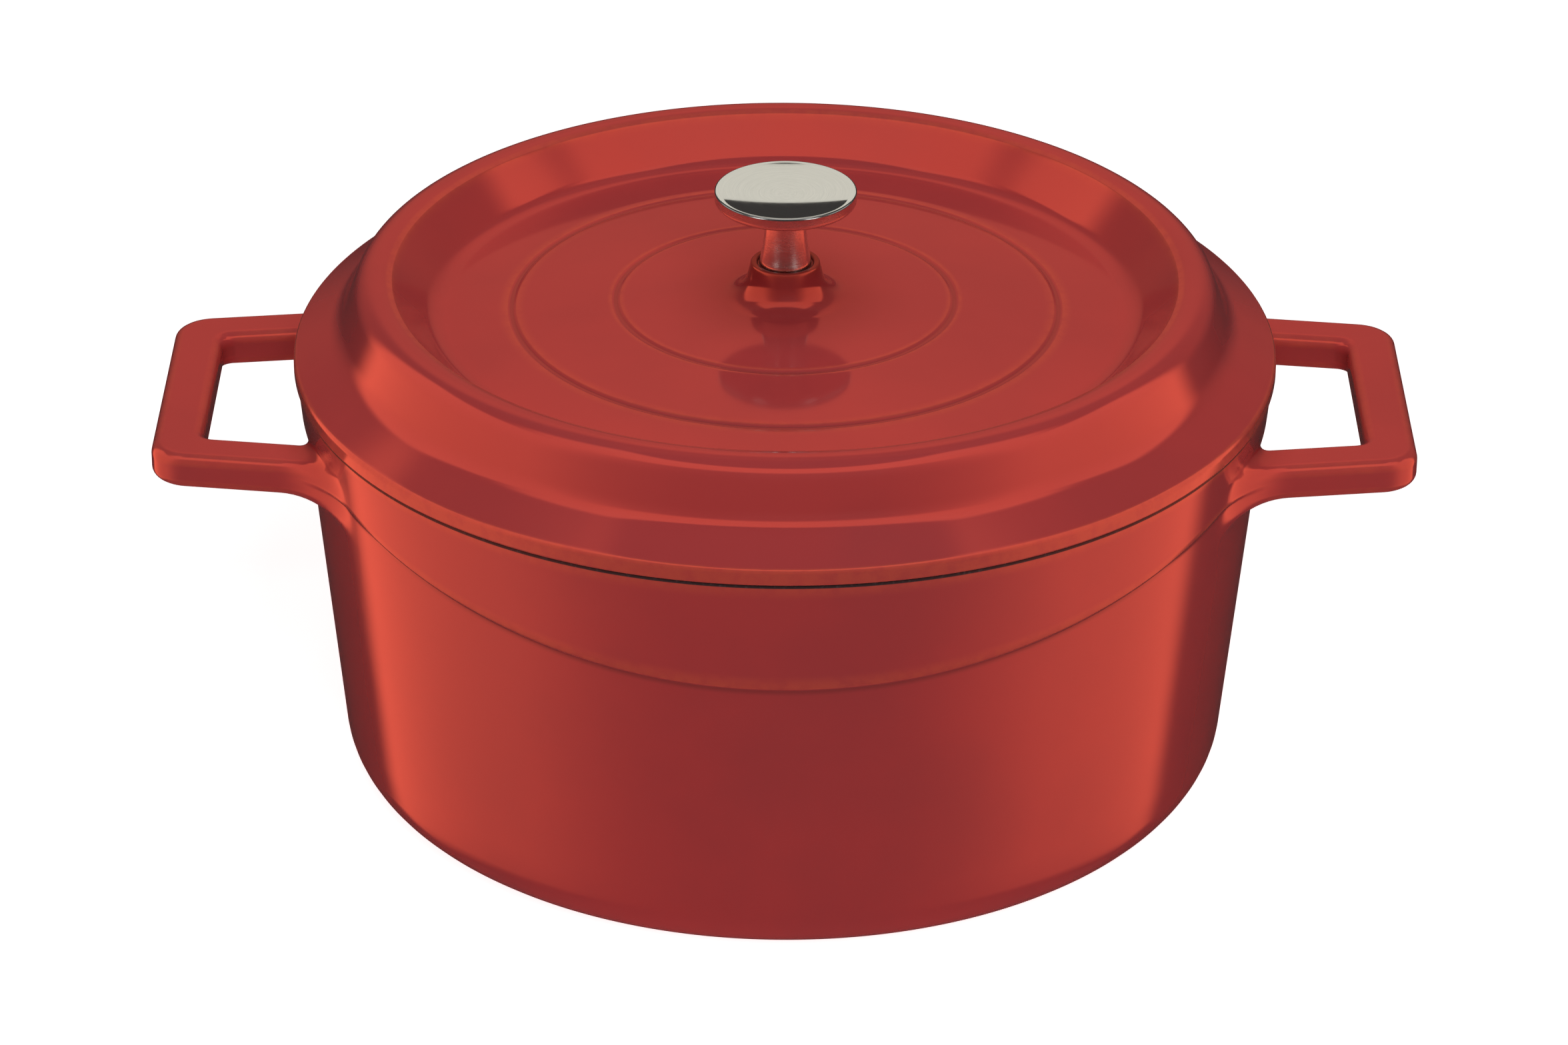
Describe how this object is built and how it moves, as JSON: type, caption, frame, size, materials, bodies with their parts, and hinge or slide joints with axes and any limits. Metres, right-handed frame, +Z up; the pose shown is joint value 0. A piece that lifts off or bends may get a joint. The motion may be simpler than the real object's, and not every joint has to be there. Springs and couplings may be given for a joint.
{
  "type": "round dutch oven",
  "caption": "Round enamelled cast iron dutch oven with two cast loop handles and a domed lid with a steel knob that lifts off.",
  "frame": {"origin": "centre of the pot's base, on the surface that it stands on", "axes": "+Z up, +X along the line of the two handles, +Y towards the back"},
  "size_m": [0.3772, 0.2962, 0.1855],
  "materials": {
    "red_enamel": "glossy vitreous enamel on cast iron, black inside",
    "polished_steel": "turned stainless steel, polished top, brushed sides",
    "screw_steel": "plain machined stainless steel"
  },
  "bodies": {
    "pot": {"pot": "red_enamel"},
    "lid": {"lid": "red_enamel", "knob": "polished_steel", "knob_screw": "screw_steel", "knob_lock_washer": "screw_steel", "knob_washer": "screw_steel"}
  },
  "joints": [
    {"name": "lid_lift", "type": "slide", "parent": "pot", "child": "lid", "axis": [0, 0, 1], "range_m": [0, 0.15]}
  ]
}
